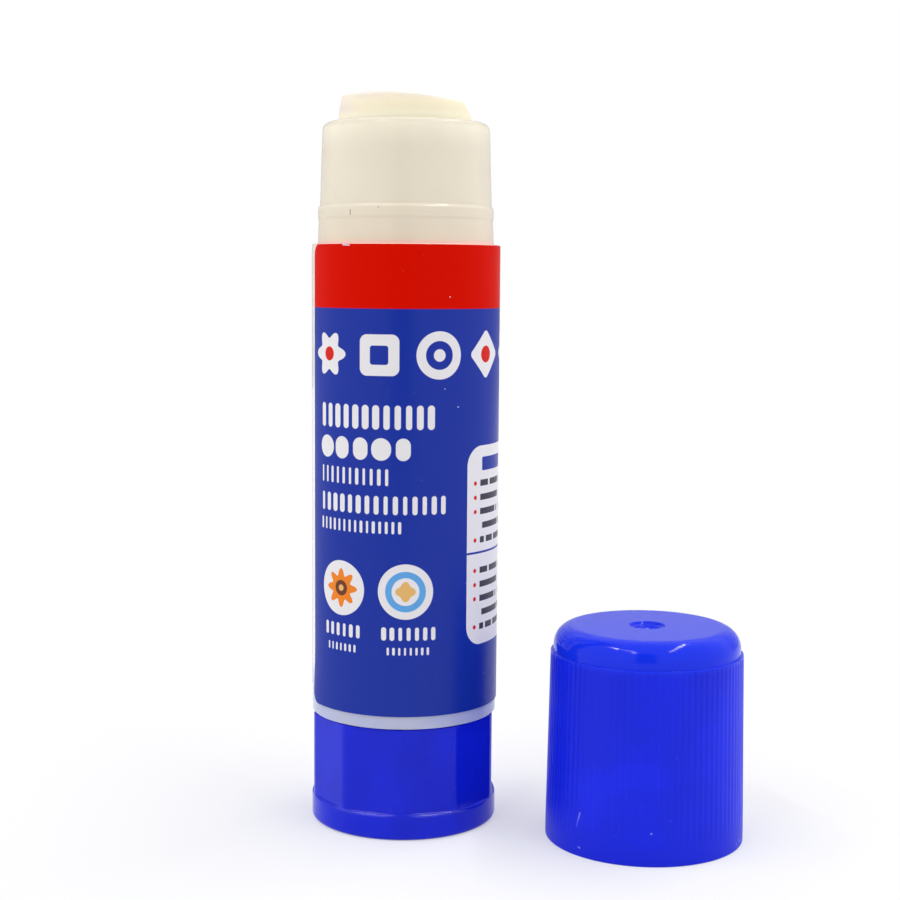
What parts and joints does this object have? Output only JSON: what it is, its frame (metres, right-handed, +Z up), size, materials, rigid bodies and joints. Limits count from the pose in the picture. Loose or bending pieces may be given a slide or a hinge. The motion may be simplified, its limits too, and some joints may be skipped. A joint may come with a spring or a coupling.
{
  "type": "glue stick",
  "caption": "Twist-up glue stick: a round barrel with a snap neck, a faceted knob that drives a screw and lifts the glue, and a ribbed push-on cap that stands beside it.",
  "frame": {"origin": "on the stick's axis, at the knob's underside, on the surface that the stick and its cap stand on", "axes": "+Z up along the stick's axis, from the knob to the glue; -Y towards the front of the label; +X towards the side on which the cap stands"},
  "size_m": [0.0479, 0.0286, 0.0808],
  "materials": {
    "milky_plastic": "natural, slightly translucent, satin gloss",
    "label_film": "printed self-adhesive film, blue field under a red band",
    "blue_plastic": "moulded, glossy",
    "white_plastic": "moulded, uncoloured",
    "glue_core": "waxy, rubbed at the tip"
  },
  "bodies": {
    "barrel": {"barrel": "milky_plastic", "label": "label_film"},
    "knob": {"knob": "blue_plastic", "spindle": "white_plastic"},
    "carrier": {"carrier": "white_plastic", "glue": "glue_core"},
    "cap": {"cap": "blue_plastic"}
  },
  "joints": [
    {"name": "knob_turn", "type": "hinge", "parent": "barrel", "child": "knob", "pos_m": [0, 0, 0], "axis": [0, 0, 1], "range_deg": [-360, 3960]},
    {"name": "carrier_rise", "type": "slide", "parent": "barrel", "child": "carrier", "axis": [0, 0, 1], "range_m": [-0.00402, 0.04402]},
    {"name": "cap_lift", "type": "slide", "parent": "barrel", "child": "cap", "axis": [0, 0, 1], "range_m": [0, 0.09]}
  ],
  "couplings": [
    {"joint": "carrier_rise", "follows": "knob_turn", "m_per_rad": 0.00063662}
  ]
}
